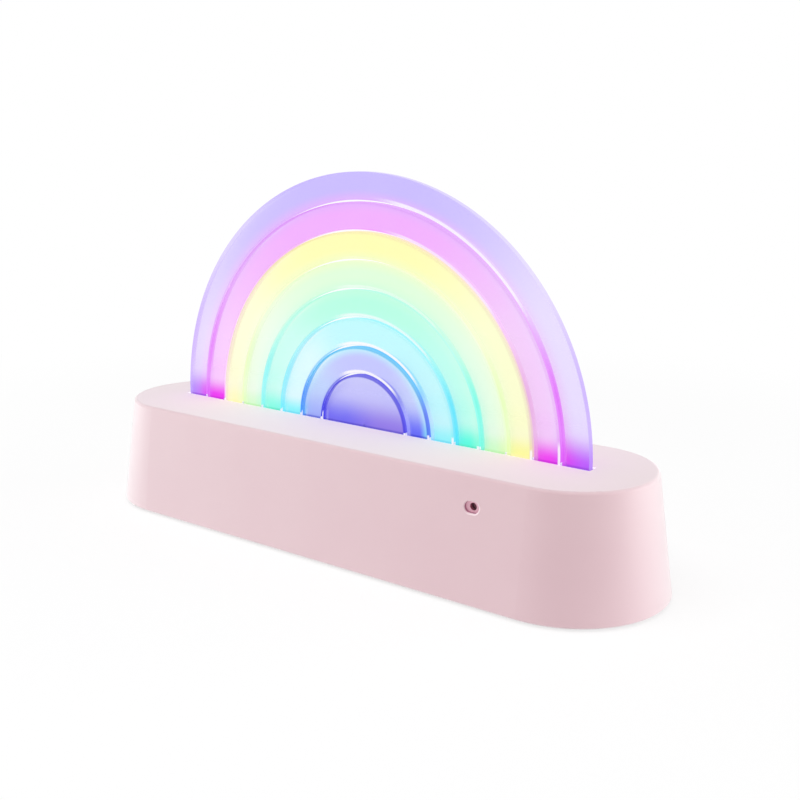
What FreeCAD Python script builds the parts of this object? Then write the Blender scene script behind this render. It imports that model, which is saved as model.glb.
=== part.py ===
import FreeCAD, Part
import math
import os

import Sketcher

# A free-standing rainbow lamp. A tapered obround base stands on rubber feet and carries seven clear arches
# and a clear centre half-disc, nested in one plane, in a slot along the middle of its top. Each band is lit
# at its feet by diodes under a white comb. Origin: bottom centre on the table. X runs along the base, the
# front faces -Y, Z is up. All sizes are in millimetres.

os.makedirs("parts", exist_ok=True)
doc = FreeCAD.newDocument("rainbow_lamp")
dim = doc.addObject("Spreadsheet::Sheet", "dim")

driving_sizes = [
    ("centre_radius", 19.0, "centre half-disc"),
    ("arch_band", 10.0, "radial step from one arch to the next"),
    ("arch_gap", 0.6, "air gap between two arches"),
    ("plate_thickness", 3.0, "thickness of the arches"),
    ("edge_break", 0.4, "chamfer of the arch edges"),
    ("centre_drop", 0.5, "centre of the arches below the top of the base"),
    ("leg_length", 12.0, "depth of the arch feet below the top of the base"),
    ("end_margin", 26.0, "base beyond the rainbow at each end"),
    ("base_depth", 65.5, "front to back at the bottom rim"),
    ("base_height", 40.0, "bottom rim to top face"),
    ("draft_angle", 8.0, "lean of the side wall"),
    ("top_round", 1.2, "rounding of the top edge"),
    ("rim_break", 0.5, "chamfer of the bottom rim"),
    ("side_wall", 2.2, "side wall"),
    ("top_wall", 2.4, "top wall"),
    ("slot_clearance", 0.3, "air round the rainbow in the slot"),
    ("slot_break", 0.35, "chamfer of the slot's mouth"),
    ("lip_round", 0.3, "rounding of the lips of the wall's openings"),
    ("foot_stand", 0.8, "bottom rim above the table"),
    ("foot_diameter", 10.0, "rubber foot"),
    ("foot_height", 2.0, "rubber foot"),
    ("foot_taper", 0.8, "rubber foot, narrower at the table"),
    ("foot_clearance", 0.15, "radial air round a rubber foot"),
    ("foot_end_inset", 12.0, "rubber foot from the end of the straight sides"),
    ("foot_side_inset", 12.0, "rubber foot from the front or back rim"),
    ("cover_recess", 0.5, "bottom cover above the rim"),
    ("cover_thickness", 2.4, "bottom cover"),
    ("cover_clearance", 0.3, "air round the bottom cover"),
    ("post_diameter", 7.0, "screw post in the shell"),
    ("post_out", 10.0, "screw post past the end of the straight sides"),
    ("post_side", 15.0, "screw post from the middle line"),
    ("cover_screw_diameter", 3.0, "cover screw shank"),
    ("cover_screw_head", 5.6, "cover screw countersunk head"),
    ("cover_screw_length", 10.0, "cover screw"),
    ("cover_head_height", 1.7, "cover screw countersunk head"),
    ("small_screw_diameter", 2.0, "inner screw shank"),
    ("small_screw_head", 3.8, "inner screw pan head"),
    ("small_head_height", 1.4, "inner screw pan head"),
    ("small_boss_diameter", 5.2, "boss for an inner screw"),
    ("small_screw_bite", 4.0, "inner screw past the pieces that it holds"),
    ("screw_clearance", 0.1, "radial air round a screw in its hole"),
    ("cross_share", 0.58, "span of a screw's cross recess as a share of its head"),
    ("cross_width", 0.7, "screw's cross recess"),
    ("cross_depth", 0.9, "screw's cross recess"),
    ("comb_width", 18.0, "light comb, front to back"),
    ("comb_overhang", 8.0, "light comb beyond the rainbow at each end"),
    ("comb_floor", 1.6, "floor under the arch feet"),
    ("comb_hang", 4.0, "comb below the top wall"),
    ("comb_fit", 0.1, "air round the arch feet in the comb"),
    ("comb_screw_out", 4.5, "end screws of the comb past the rainbow"),
    ("comb_screw_side", 3.8, "middle screws of the comb from the rainbow"),
    ("tooth_fit", 0.05, "air between a tooth and its two arches"),
    ("tooth_rise", 0.5, "tooth tips above the base"),
    ("board_thickness", 1.6, "circuit boards"),
    ("led_length", 3.5, "diode along the board"),
    ("led_width", 2.8, "diode across the board"),
    ("led_height", 0.8, "diode above the board"),
    ("led_air", 0.3, "air round a diode in its window"),
    ("standoff_height", 6.0, "main board above the cover"),
    ("board_left", 16.0, "main board left of the middle"),
    ("board_right", 54.0, "main board right of the middle"),
    ("board_depth", 24.5, "main board front to back"),
    ("board_inset", 1.6, "main board in front of the back wall"),
    ("board_screw_inset", 4.0, "main board screws from its edges"),
    ("chip_length", 10.0, "control chip"),
    ("chip_width", 4.0, "control and charger chip"),
    ("chip_height", 1.5, "control and charger chip"),
    ("charger_length", 5.0, "charger chip"),
    ("chip_setback", 10.0, "chips behind the front edge of the main board"),
    ("control_place", 8.0, "control chip right of the middle"),
    ("charger_place", -3.0, "charger chip right of the middle"),
    ("header_place", 35.0, "link header right of the middle"),
    ("header_length", 10.0, "link header"),
    ("header_width", 2.6, "link header"),
    ("header_setback", 3.0, "link header behind the front edge of the main board"),
    ("socket_width", 8.94, "charging socket"),
    ("socket_height", 3.26, "charging socket"),
    ("socket_depth", 7.4, "charging socket"),
    ("socket_sheet", 0.3, "charging socket wall"),
    ("socket_recess", 0.4, "charging socket mouth behind the wall face"),
    ("socket_air", 0.3, "air round the charging socket in the wall"),
    ("socket_end", 1.2, "charging socket back plate"),
    ("tongue_width", 6.6, "contact tongue"),
    ("tongue_height", 0.7, "contact tongue"),
    ("tongue_setback", 1.2, "contact tongue behind the mouth"),
    ("button_place", 26.0, "mode button right of the middle"),
    ("button_diameter", 7.0, "mode button cap"),
    ("button_rise", 0.9, "mode button out of the wall"),
    ("button_flange", 9.4, "mode button flange"),
    ("button_boss", 13.0, "mode button guide in the shell"),
    ("button_travel", 0.5, "mode button stroke"),
    ("button_round", 0.5, "rounding of the mode button"),
    ("button_seat_depth", 0.5, "mode button guide inside the wall"),
    ("button_rest_gap", 0.05, "mode button flange from its seat"),
    ("flange_thickness", 1.0, "mode button flange"),
    ("stem_diameter", 4.0, "mode button stem"),
    ("stem_length", 1.0, "mode button stem"),
    ("button_air", 0.5, "main board notch round the mode button"),
    ("running_fit", 0.06, "radial air round the button and the plunger"),
    ("plunger_diameter", 3.2, "switch plunger"),
    ("plunger_grip", 1.5, "switch plunger inside its switch"),
    ("switch_axis", 2.4, "switch plunger above the board"),
    ("switch_width", 6.0, "switch"),
    ("switch_depth", 3.6, "switch"),
    ("switch_height", 4.4, "switch"),
    ("switch_air", 0.9, "stem from the switch at full stroke"),
    ("well_air", 0.3, "switch plunger from the end of its well at full stroke"),
    ("mic_place", 63.8, "front hole right of the middle"),
    ("mic_drop", 9.8, "front hole below the top of the base"),
    ("mic_recess_length", 5.3, "front hole, outer step, along the base"),
    ("mic_recess", 3.6, "front hole, outer step, height"),
    ("mic_recess_depth", 1.2, "front hole, outer step"),
    ("mic_hole", 2.5, "front hole, inner step"),
    ("mic_diameter", 6.0, "microphone capsule"),
    ("mic_length", 2.7, "microphone capsule"),
    ("mic_seat", 0.3, "microphone seat inside the wall"),
    ("mic_ring_wall", 1.0, "ring round the microphone boot"),
    ("boot_wall", 0.9, "microphone boot"),
    ("boot_lip", 0.8, "microphone boot in front of the capsule"),
    ("boot_fit", 0.05, "radial air round the boot and the capsule"),
    ("boot_length", 4.4, "microphone boot"),
    ("cell_diameter", 14.2, "rechargeable cell"),
    ("cell_length", 50.0, "rechargeable cell"),
    ("cell_place", 67.0, "middle of the cell left of the middle"),
    ("cell_lift", 1.0, "cell above the cover"),
    ("cell_fit", 0.05, "radial air round the cell in its saddles"),
    ("cell_cap_diameter", 5.0, "cap of the cell"),
    ("cell_cap_length", 1.5, "cap of the cell"),
    ("saddle_spread", 18.0, "saddles from the middle of the cell"),
    ("saddle_thickness", 3.0, "saddle"),
    ("saddle_wall", 3.0, "saddle beside the cell"),
    ("saddle_drop", 1.0, "saddle top below the axis of the cell"),
    ("clamp_wall", 2.0, "cell clamp"),
    ("clamp_width", 8.0, "cell clamp"),
    ("clamp_air", 0.15, "radial air round the cell in its clamp"),
    ("clamp_boss_height", 4.0, "clamp boss on the cover"),
    ("clamp_screw_out", 3.5, "clamp screws from the clamp's leg"),
    ("clamp_ear", 3.0, "clamp ear past its screw"),
    ("plug_width", 6.0, "plug of a lead"),
    ("plug_height", 5.0, "plug of a lead"),
    ("cell_plug_place", -10.0, "plug of the cell lead right of the middle"),
    ("cell_plug_setback", 9.0, "plug of the cell lead behind the front edge of the main board"),
    ("mic_plug_place", 29.0, "plug of the microphone lead right of the middle"),
    ("mic_plug_setback", 1.0, "plug of the microphone lead behind the front edge of the main board"),
    ("cell_lead_diameter", 2.2, "lead of the cell"),
    ("mic_lead_diameter", 1.6, "lead of the microphone"),
    ("lead_clearance", 3.5, "lead of the microphone in front of the comb"),
]
for row, (alias, size, note) in enumerate(driving_sizes, start=1):
    dim.set(f"A{row}", note)
    dim.set(f"B{row}", str(size))
    dim.setAlias(f"B{row}", alias)
doc.recompute()

# Heights and distances that follow from the sizes.
arch_names = [
    "lavender_arch",
    "pink_arch",
    "yellow_arch",
    "pale_green_arch",
    "mint_arch",
    "cyan_arch",
    "blue_arch",
]
plate_radius = f"(dim.centre_radius + {len(arch_names)} * dim.arch_band)"
base_length = f"(2 * ({plate_radius} + dim.end_margin))"
straight_half = f"(({base_length} - dim.base_depth) / 2)"
base_top = "(dim.foot_stand + dim.base_height)"
ceiling = f"({base_top} - dim.top_wall)"
cover_bottom = "(dim.foot_stand + dim.cover_recess)"
cover_middle = f"({cover_bottom} + dim.cover_thickness / 2)"
cover_top = f"({cover_bottom} + dim.cover_thickness)"
leg_foot = f"({base_top} - dim.leg_length)"
arch_centre = f"({base_top} - dim.centre_drop)"
comb_bottom = f"({leg_foot} - dim.comb_floor)"
comb_top = f"({ceiling} - dim.comb_hang)"
comb_half = f"({plate_radius} + dim.comb_overhang)"
led_bottom = f"({comb_bottom} - dim.board_thickness)"
main_bottom = f"({cover_top} + dim.standoff_height)"
main_top = f"({main_bottom} + dim.board_thickness)"
half_plate = "(dim.plate_thickness / 2)"


def wall_at(height):
    return f"(dim.base_depth / 2 - ({height} - dim.foot_stand) * tan(dim.draft_angle))"


def inside_at(height):
    return f"({wall_at(height)} - dim.side_wall)"


def amount(formula):
    return float(dim.evalExpression(formula))


def bind(target, **formulas):
    for name, formula in formulas.items():
        target.setExpression(name, formula)


def place(target, x, y, z):
    target.setExpression("Placement.Base.x", x)
    target.setExpression("Placement.Base.y", y)
    target.setExpression("Placement.Base.z", z)


def both_sides(half):
    return f"-{half}", half


def about(middle, size):
    return f"{middle} - {size} / 2", f"{middle} + {size} / 2"


def onward(start, length):
    return start, f"{start} + {length}"


turns = {
    "z": FreeCAD.Rotation(),
    "x": FreeCAD.Rotation(FreeCAD.Vector(0, 1, 0), 90),
    "y": FreeCAD.Rotation(FreeCAD.Vector(1, 0, 0), -90),
}


def box(name, x, y, z):
    """A block between the two formulas given for each axis."""
    block = doc.addObject("Part::Box", name)
    bind(block, Length=f"{x[1]} - ({x[0]})", Width=f"{y[1]} - ({y[0]})", Height=f"{z[1]} - ({z[0]})")
    place(block, x[0], y[0], z[0])
    return block


def rod(name, diameter, start, length, along="z"):
    """A cylinder from a start point along one axis."""
    cylinder = doc.addObject("Part::Cylinder", name)
    cylinder.Placement = FreeCAD.Placement(FreeCAD.Vector(), turns[along])
    bind(cylinder, Radius=f"({diameter}) / 2", Height=length)
    place(cylinder, *start)
    return cylinder


def taper(name, bottom, top, start, length):
    """A frustum standing on a start point, with the two diameters given."""
    cone = doc.addObject("Part::Cone", name)
    bind(cone, Radius1=f"({bottom}) / 2", Radius2=f"({top}) / 2", Height=length)
    place(cone, *start)
    return cone


def join(name, pieces):
    fused = doc.addObject("Part::MultiFuse", name)
    fused.Shapes = pieces
    fused.Refine = True
    return fused


def cut(name, base, tools):
    tool = tools[0] if len(tools) == 1 else join(name + "_cuts", tools)
    remainder = doc.addObject("Part::Cut", name)
    remainder.Base = base
    remainder.Tool = tool
    remainder.Refine = True
    return remainder


def group(name, pieces):
    together = doc.addObject("Part::Compound", name)
    together.Links = pieces
    return together


def new_sketch(body, name, role):
    sketch = body.newObject("Sketcher::SketchObject", name)
    plane = next(item for item in body.Origin.OriginFeatures if item.Role == role)
    sketch.AttachmentSupport = [(plane, "")]
    sketch.MapMode = "FlatFace"
    return sketch


def constrain(sketch, kind, *arguments, formula=None):
    if formula is not None:
        arguments = arguments + (amount(formula),)
    index = sketch.addConstraint(Sketcher.Constraint(kind, *arguments))
    if formula is not None:
        sketch.setExpression(f"Constraints[{index}]", formula)


def obround(body, name, role, length, width):
    """A closed outline of two straight sides and two half circles, centred on the sketch origin."""
    sketch = new_sketch(body, name, role)
    half = amount(f"({length} - {width}) / 2")
    radius = amount(f"{width} / 2")
    quarter = math.pi / 2
    point = FreeCAD.Vector
    sketch.addGeometry([
        Part.LineSegment(point(-half, -radius, 0), point(half, -radius, 0)),
        Part.ArcOfCircle(Part.Circle(point(half, 0, 0), point(0, 0, 1), radius), -quarter, quarter),
        Part.LineSegment(point(half, radius, 0), point(-half, radius, 0)),
        Part.ArcOfCircle(Part.Circle(point(-half, 0, 0), point(0, 0, 1), radius), quarter, 3 * quarter),
    ], False)
    for first, second in ((0, 1), (1, 2), (2, 3), (3, 0)):
        constrain(sketch, "Tangent", first, 2, second, 1)
    constrain(sketch, "Horizontal", 0)
    constrain(sketch, "Symmetric", 1, 3, 3, 3, -1, 1)
    constrain(sketch, "Radius", 1, formula=f"{width} / 2")
    constrain(sketch, "DistanceX", 3, 3, 1, 3, formula=f"{length} - {width}")
    return sketch


def leaning_obround(name, inset, bottom, height):
    """An obround block whose side wall leans like the base, inset from the outline at the rim."""
    body = doc.addObject("PartDesign::Body", name)
    length = f"({base_length} - 2 * ({inset}))"
    width = f"(dim.base_depth - 2 * ({inset}))"
    outline = obround(body, name + "_outline", "XY_Plane", length, width)
    outline.setExpression("AttachmentOffset.Base.z", bottom)
    pad = body.newObject("PartDesign::Pad", name + "_pad")
    pad.Profile = outline
    bind(pad, Length=height)
    doc.recompute()
    sides = [f"Face{k}" for k, face in enumerate(pad.Shape.Faces, start=1) if face.BoundBox.ZLength > 1e-6]
    floor = min(range(len(pad.Shape.Faces)), key=lambda k: pad.Shape.Faces[k].CenterOfMass.z)
    lean = body.newObject("PartDesign::Draft", name + "_lean")
    lean.Base = (pad, sides)
    lean.NeutralPlane = (pad, [f"Face{floor + 1}"])
    bind(lean, Angle="dim.draft_angle")
    doc.recompute()
    return body


def dress_edges(body, name, kind, size, chosen):
    """Fillet or chamfer the edges of the body's last feature for which chosen(edge) holds."""
    base = body.Tip
    names = [f"Edge{k}" for k, edge in enumerate(base.Shape.Edges, start=1) if chosen(edge)]
    dressing = body.newObject(f"PartDesign::{kind}", name)
    dressing.Base = (base, names)
    dressing.setExpression("Radius" if kind == "Fillet" else "Size", size)
    doc.recompute()


def obround_rod(name, length, width, x, z, y_start, y_end):
    """An obround bar along Y."""
    body = doc.addObject("PartDesign::Body", name)
    outline = obround(body, name + "_outline", "XZ_Plane", length, width)
    pad = body.newObject("PartDesign::Pad", name + "_pad")
    pad.Profile = outline
    pad.Reversed = True
    bind(pad, Length=f"{y_end} - ({y_start})")
    place(body, x, y_start, z)
    return body


def break_edges(kind, name, base, size, chosen):
    """Round or chamfer the edges of a finished shape for which chosen(edge) holds."""
    doc.recompute()
    amounts = (amount(size), amount(size))
    broken = doc.addObject(f"Part::{kind}", name)
    broken.Base = base
    broken.Edges = [(k, *amounts) for k, edge in enumerate(base.Shape.Edges, start=1) if chosen(edge)]
    return broken


def cross_recess(name, screw, head, x, y, start):
    """A cross for the driver, cut into a screw's head upwards from a start height."""
    span = f"(dim.cross_share * {head})"
    z = onward(start, "dim.cross_depth")
    along = box(name + "_along", about(x, span), about(y, "dim.cross_width"), z)
    across = box(name + "_across", about(x, "dim.cross_width"), about(y, span), z)
    return cut(name, screw, [along, across])


def corners(x, y):
    return [(f"{sx} * {x}", f"{sy} * {y}") for sx in (1, -1) for sy in (1, -1)]


# Places that several pieces share.
post_places = corners(f"({straight_half} + dim.post_out)", "dim.post_side")
foot_places = corners(f"({straight_half} - dim.foot_end_inset)", "(dim.base_depth / 2 - dim.foot_side_inset)")
comb_screw_x = f"({plate_radius} + dim.comb_screw_out)"
comb_screw_y = f"({half_plate} + dim.comb_screw_side)"
comb_screw_places = [(x, "0") for x in both_sides(comb_screw_x)]
comb_screw_places += [("0", y) for y in both_sides(comb_screw_y)]
small_hole = "(dim.small_screw_diameter + 2 * dim.screw_clearance)"
large_hole = "(dim.cover_screw_diameter + 2 * dim.screw_clearance)"

# Main board, charging socket and button line up with the back wall.
board_back = f"({inside_at(main_top)} - dim.board_inset)"
board_front = f"({board_back} - dim.board_depth)"
socket_z = f"({main_top} + dim.socket_height / 2)"
socket_mouth = f"({wall_at(socket_z)} - dim.socket_recess)"
socket_back = f"({socket_mouth} - dim.socket_depth)"
button_z = f"({main_top} + dim.switch_axis)"
button_seat = f"({inside_at(f'({button_z} + dim.button_boss / 2)')} - dim.button_seat_depth)"
button_face = f"({wall_at(button_z)} + dim.button_rise)"
flange_front = f"({button_seat} - dim.button_rest_gap)"
flange_back = f"({flange_front} - dim.flange_thickness)"
stem_back = f"({flange_back} - dim.stem_length)"
switch_front = f"({stem_back} - dim.button_travel - dim.switch_air)"
switch_back = f"({switch_front} - dim.switch_depth)"
plunger_back = f"({switch_front} - dim.plunger_grip)"

# Microphone seat behind the front hole.
mic_z = f"({base_top} - dim.mic_drop)"
mic_face = f"(-{wall_at(mic_z)})"
mic_floor = f"(-{inside_at(mic_z)} + dim.mic_seat)"
boot_diameter = "(dim.mic_diameter + 2 * dim.boot_wall)"
boot_back = f"({mic_floor} + dim.boot_length)"
mic_front = f"({mic_floor} + dim.boot_lip)"
mic_back = f"({mic_front} + dim.mic_length)"

# Cell seat on the cover.
cell_z = f"({cover_top} + dim.cell_lift + dim.cell_diameter / 2)"
cell_x = "(-dim.cell_place)"
cell_right = f"({cell_x} + dim.cell_length / 2)"
clamp_bore = "(dim.cell_diameter + 2 * dim.clamp_air)"
clamp_outside = f"({clamp_bore} + 2 * dim.clamp_wall)"
clamp_foot = f"({cover_top} + dim.clamp_boss_height)"
clamp_screw_y = f"({clamp_outside} / 2 + dim.clamp_screw_out)"
clamp_screw_places = [(cell_x, y) for y in both_sides(clamp_screw_y)]

nodes = []


def base_shell():
    outer = leaning_obround("outer_form", "0", "dim.foot_stand", "dim.base_height")
    top_level = amount(base_top)
    rim_level = amount("dim.foot_stand")
    dress_edges(outer, "top_edge", "Fillet", "dim.top_round",
                lambda edge: edge.BoundBox.ZMin > top_level - 1e-4)
    dress_edges(outer, "rim_edge", "Chamfer", "dim.rim_break",
                lambda edge: edge.BoundBox.ZMax < rim_level + 1e-4)
    inner_height = "dim.base_height - dim.top_wall"
    hollow = leaning_obround("hollow_form", "dim.side_wall", "dim.foot_stand", inner_height)
    walls = cut("shell_walls", outer, [hollow])
    root = f"({ceiling} + dim.top_wall / 2)"
    lugs = []
    holes = []
    for k, (x, y) in enumerate(post_places):
        start = (x, y, cover_top)
        lugs.append(rod(f"post_{k}", "dim.post_diameter", start, f"{root} - {cover_top}"))
        holes.append(rod(f"post_pilot_{k}", large_hole, start, "dim.cover_screw_length"))
    for k, (x, y) in enumerate(comb_screw_places):
        start = (x, y, comb_top)
        lugs.append(rod(f"comb_boss_{k}", "dim.small_boss_diameter", start, f"{root} - {comb_top}"))
        holes.append(rod(f"comb_pilot_{k}", small_hole, start, f"{root} - {comb_top}"))
    reach = "dim.base_depth / 2"
    button_at = ("dim.button_place", button_seat, button_z)
    lugs.append(rod("button_guide", "dim.button_boss", button_at, reach, "y"))
    bore = "dim.button_diameter + 2 * dim.running_fit"
    holes.append(rod("button_bore", bore, ("dim.button_place", flange_back, button_z), reach, "y"))
    mic_outside = ("dim.mic_place", f"-{reach}", mic_z)
    mic_pocket = f"({boot_diameter} + 2 * dim.boot_fit)"
    mic_ring = f"{mic_pocket} + 2 * dim.mic_ring_wall"
    lugs.append(rod("mic_ring", mic_ring, mic_outside, f"{boot_back} + {reach}", "y"))
    holes.append(rod("mic_pocket", mic_pocket, ("dim.mic_place", mic_floor, mic_z), "dim.boot_length", "y"))
    holes.append(obround_rod("mic_step", "dim.mic_recess_length", "dim.mic_recess", "dim.mic_place", mic_z,
                             f"-{reach}", f"{mic_face} + dim.mic_recess_depth"))
    holes.append(rod("mic_bore", "dim.mic_hole", mic_outside, f"{mic_floor} + {reach}", "y"))
    holes.append(obround_rod("socket_window", "(dim.socket_width + 2 * dim.socket_air)",
                             "(dim.socket_height + 2 * dim.socket_air)", "0", socket_z, board_back, reach))
    half_slot = f"({plate_radius} + dim.slot_clearance)"
    deep_slot = f"({half_plate} + dim.slot_clearance)"
    holes.append(box("rainbow_slot", both_sides(half_slot), both_sides(deep_slot), (ceiling, base_top)))
    inside_lugs = doc.addObject("Part::Common", "inside_lugs")
    inside_lugs.Base = outer
    inside_lugs.Tool = join("lugs", lugs)
    drilled = cut("drilled_shell", join("shell_with_lugs", [walls, inside_lugs]), holes)
    doc.recompute()
    lean = math.tan(math.radians(amount("dim.draft_angle")))
    half_depth = amount(reach)
    largest = amount("2 * dim.button_diameter")

    def wall_lip(edge):
        if edge.BoundBox.DiagonalLength > largest:
            return False
        return all(abs(abs(p.y) - half_depth + (p.z - rim_level) * lean) < 1e-3 for p in edge.discretize(5))

    def slot_mouth(edge):
        box = edge.BoundBox
        inside = max(box.XMax, -box.XMin) < amount(half_slot) + 1e-3 and box.YMax < amount(deep_slot) + 1e-3
        return inside and box.ZMin > top_level - 1e-4

    lips = break_edges("Fillet", "shell_lips", drilled, "dim.lip_round", wall_lip)
    nodes.append(break_edges("Chamfer", "base_shell", lips, "dim.slot_break", slot_mouth))


def bottom_cover():
    inset = "dim.side_wall + dim.cover_clearance + dim.cover_recess * tan(dim.draft_angle)"
    sheet = leaning_obround("cover_sheet", inset, cover_bottom, "dim.cover_thickness")
    adds = [sheet]
    holes = []
    for k, (x, y) in enumerate(post_places):
        start = (x, y, cover_bottom)
        head = "(dim.cover_screw_head + 2 * dim.screw_clearance)"
        holes.append(rod(f"cover_hole_{k}", large_hole, start, "dim.cover_thickness"))
        holes.append(taper(f"cover_sink_{k}", head, large_hole, start, "dim.cover_head_height"))
    for k, (x, y) in enumerate(foot_places):
        seat = "dim.foot_diameter + 2 * dim.foot_clearance"
        holes.append(rod(f"foot_seat_{k}", seat, (x, y, "0"), "dim.foot_height"))
    for k, (x, y) in enumerate(board_screw_places):
        tall = f"{main_bottom} - {cover_middle}"
        adds.append(rod(f"standoff_{k}", "dim.small_boss_diameter", (x, y, cover_middle), tall))
        holes.append(rod(f"standoff_pilot_{k}", small_hole, (x, y, cover_top), "dim.standoff_height"))
    for k, (x, y) in enumerate(clamp_screw_places):
        tall = f"{clamp_foot} - {cover_middle}"
        adds.append(rod(f"clamp_boss_{k}", "dim.small_boss_diameter", (x, y, cover_middle), tall))
        holes.append(rod(f"clamp_pilot_{k}", small_hole, (x, y, cover_middle), tall))
    for k, side in enumerate((1, -1)):
        middle = f"({cell_x} + {side} * dim.saddle_spread)"
        half = "(dim.cell_diameter / 2 + dim.saddle_wall)"
        adds.append(box(f"saddle_{k}", about(middle, "dim.saddle_thickness"), both_sides(half),
                        (cover_middle, f"{cell_z} - dim.saddle_drop")))
    bed = "dim.cell_diameter + 2 * dim.cell_fit"
    bed_start = f"{cell_x} - dim.saddle_spread - dim.saddle_thickness"
    bed_length = "2 * dim.saddle_spread + 2 * dim.saddle_thickness"
    holes.append(rod("cell_bed", bed, (bed_start, "0", cell_z), bed_length, "x"))
    nodes.append(cut("bottom_cover", join("cover_with_bosses", adds), holes))
    sole = "dim.foot_diameter - dim.foot_taper"
    feet = [taper(f"foot_{k}", sole, "dim.foot_diameter", (x, y, "0"), "dim.foot_height")
            for k, (x, y) in enumerate(foot_places)]
    nodes.append(group("rubber_feet", feet))
    screws = []
    for k, (x, y) in enumerate(post_places):
        start = (x, y, cover_bottom)
        head = taper(f"cover_screw_head_{k}", "dim.cover_screw_head", "dim.cover_screw_diameter", start,
                     "dim.cover_head_height")
        shank = rod(f"cover_screw_shank_{k}", "dim.cover_screw_diameter", start, "dim.cover_screw_length")
        blank = join(f"cover_screw_blank_{k}", [head, shank])
        screws.append(cross_recess(f"cover_screw_{k}", blank, "dim.cover_screw_head", x, y, cover_bottom))
    nodes.append(group("cover_screws", screws))


def pan_screws(name, places, seat, length, up):
    """Pan head screws with the underside of the head on a seat; up tells which way the shank points."""
    screws = []
    for k, (x, y) in enumerate(places):
        head_start = f"{seat} - dim.small_head_height" if up else seat
        shank_start = seat if up else f"{seat} - ({length})"
        head = rod(f"{name}_head_{k}", "dim.small_screw_head", (x, y, head_start), "dim.small_head_height")
        shank = rod(f"{name}_shank_{k}", "dim.small_screw_diameter", (x, y, shank_start), length)
        blank = join(f"{name}_blank_{k}", [head, shank])
        crown = head_start if up else f"({seat} + dim.small_head_height - dim.cross_depth)"
        screws.append(cross_recess(f"{name}_{k}", blank, "dim.small_screw_head", x, y, crown))
    nodes.append(group(name, screws))


def light_guide(name, outer, inner=None):
    """A clear band: a half circle on straight legs, hollow when an inner radius is given."""
    body = doc.addObject("PartDesign::Body", name)
    sketch = new_sketch(body, name + "_outline", "XZ_Plane")
    point = FreeCAD.Vector
    centre = point(0, amount(arch_centre), 0)
    foot = amount(leg_foot)
    normal = point(0, 0, 1)
    radius = amount(outer)

    def half_circle(size):
        return Part.ArcOfCircle(Part.Circle(centre, normal, size), 0, math.pi)

    sketch.addGeometry([
        Part.LineSegment(point(-radius, foot, 0), point(-radius, centre.y, 0)),
        half_circle(radius),
        Part.LineSegment(point(radius, centre.y, 0), point(radius, foot, 0)),
    ], False)
    if inner is None:
        sketch.addGeometry(Part.LineSegment(point(radius, foot, 0), point(-radius, foot, 0)), False)
        joints = [(2, 2, 3, 1), (3, 2, 0, 1)]
        level = []
    else:
        bore = amount(inner)
        sketch.addGeometry([
            Part.LineSegment(point(radius, foot, 0), point(bore, foot, 0)),
            Part.LineSegment(point(bore, foot, 0), point(bore, centre.y, 0)),
            half_circle(bore),
            Part.LineSegment(point(-bore, centre.y, 0), point(-bore, foot, 0)),
            Part.LineSegment(point(-bore, foot, 0), point(-radius, foot, 0)),
        ], False)
        joints = [(2, 2, 3, 1), (3, 2, 4, 1), (6, 2, 7, 1), (7, 2, 0, 1)]
        level = [3, 7]
        constrain(sketch, "Tangent", 4, 2, 5, 1)
        constrain(sketch, "Tangent", 5, 2, 6, 1)
        constrain(sketch, "Coincident", 5, 3, 1, 3)
        constrain(sketch, "Radius", 5, formula=inner)
    constrain(sketch, "Tangent", 0, 2, 1, 2)
    constrain(sketch, "Tangent", 1, 1, 2, 1)
    for joint in joints:
        constrain(sketch, "Coincident", *joint)
    for line in level:
        constrain(sketch, "Horizontal", line)
    constrain(sketch, "Vertical", 0)
    constrain(sketch, "PointOnObject", 1, 3, -2)
    constrain(sketch, "Radius", 1, formula=outer)
    constrain(sketch, "DistanceY", -1, 1, 1, 3, formula=arch_centre)
    constrain(sketch, "DistanceY", -1, 1, 0, 1, formula=leg_foot)
    constrain(sketch, "DistanceY", -1, 1, 2, 2, formula=leg_foot)
    pad = body.newObject("PartDesign::Pad", name + "_pad")
    pad.Profile = sketch
    pad.SideType = "Symmetric"
    bind(pad, Length="dim.plate_thickness")
    doc.recompute()

    def on_a_face(edge):
        return edge.BoundBox.YLength < 1e-4 and edge.BoundBox.ZMax > foot + 1e-3

    dress_edges(body, name + "_edges", "Chamfer", "dim.edge_break", on_a_face)
    nodes.append(body)


arch_outer = [f"({plate_radius} - {k} * dim.arch_band)" for k in range(len(arch_names) + 1)]


def rainbow():
    for name, outer in zip(arch_names, arch_outer):
        light_guide(name, outer, f"({outer} - dim.arch_band + dim.arch_gap)")
    light_guide("centre_half_disc", "dim.centre_radius")


# One diode under each foot of an arch, three under the centre half-disc.
led_places = []
for outer in arch_outer[:-1]:
    for side in (1, -1):
        led_places.append(f"({side} * ({outer} - (dim.arch_band - dim.arch_gap) / 2))")
centre_led = "(dim.centre_radius + dim.led_length) / 2"
led_places += [f"(-{centre_led})", "0", f"({centre_led})"]


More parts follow.
